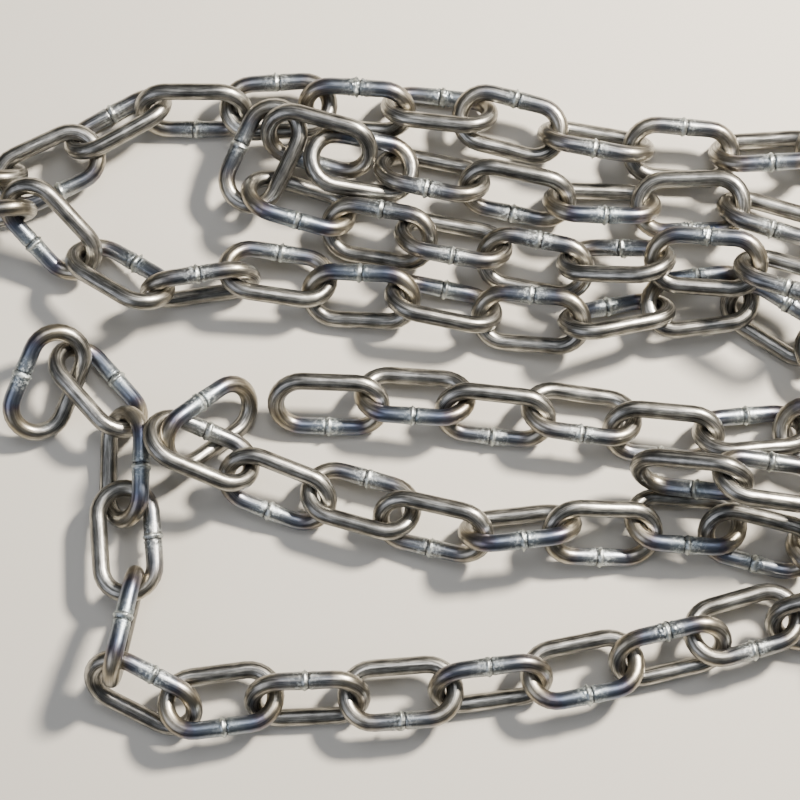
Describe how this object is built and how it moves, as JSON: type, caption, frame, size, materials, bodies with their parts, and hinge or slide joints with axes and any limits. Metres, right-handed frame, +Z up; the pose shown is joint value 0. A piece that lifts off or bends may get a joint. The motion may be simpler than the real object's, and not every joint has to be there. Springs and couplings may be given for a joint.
{
  "type": "heap of link chain",
  "caption": "Loose heap of bare welded steel long-link chain lying in doubled-back rows on a floor, for hooking, lashing or cutting to length.",
  "frame": {"origin": "centre of the heap's footprint, on the floor it lies on", "axes": "+X along the rows of chain, to the right in the picture; +Y away from the camera; +Z up"},
  "size_m": [0.5868, 0.3372, 0.0571],
  "materials": {
    "bare_steel": "drawn steel wire, satin, with heat tint around each weld"
  },
  "bodies": {
    "root": {"end_link_01": "bare_steel", "front_run_01": "bare_steel", "front_run_02": "bare_steel", "front_run_03": "bare_steel", "front_run_04": "bare_steel", "front_run_05": "bare_steel", "front_run_06": "bare_steel", "front_run_07": "bare_steel", "front_run_08": "bare_steel", "front_run_09": "bare_steel", "front_run_10": "bare_steel", "front_run_11": "bare_steel", "front_run_12": "bare_steel", "front_run_13": "bare_steel", "front_run_14": "bare_steel", "looped_run_01": "bare_steel", "looped_run_02": "bare_steel", "looped_run_03": "bare_steel", "looped_run_04": "bare_steel", "looped_run_05": "bare_steel", "looped_run_06": "bare_steel", "looped_run_07": "bare_steel", "looped_run_08": "bare_steel", "looped_run_09": "bare_steel", "looped_run_10": "bare_steel", "looped_run_11": "bare_steel", "looped_run_12": "bare_steel", "looped_run_13": "bare_steel", "looped_run_14": "bare_steel", "looped_run_15": "bare_steel", "looped_run_16": "bare_steel", "looped_run_17": "bare_steel", "looped_run_18": "bare_steel", "looped_run_19": "bare_steel", "looped_run_20": "bare_steel", "looped_run_21": "bare_steel", "looped_run_22": "bare_steel", "tangle_run_01": "bare_steel", "tangle_run_02": "bare_steel", "tangle_run_03": "bare_steel", "tangle_run_04": "bare_steel", "tangle_run_05": "bare_steel", "tangle_run_06": "bare_steel", "tangle_run_07": "bare_steel", "tangle_run_08": "bare_steel", "tangle_run_09": "bare_steel"}
  },
  "joints": []
}
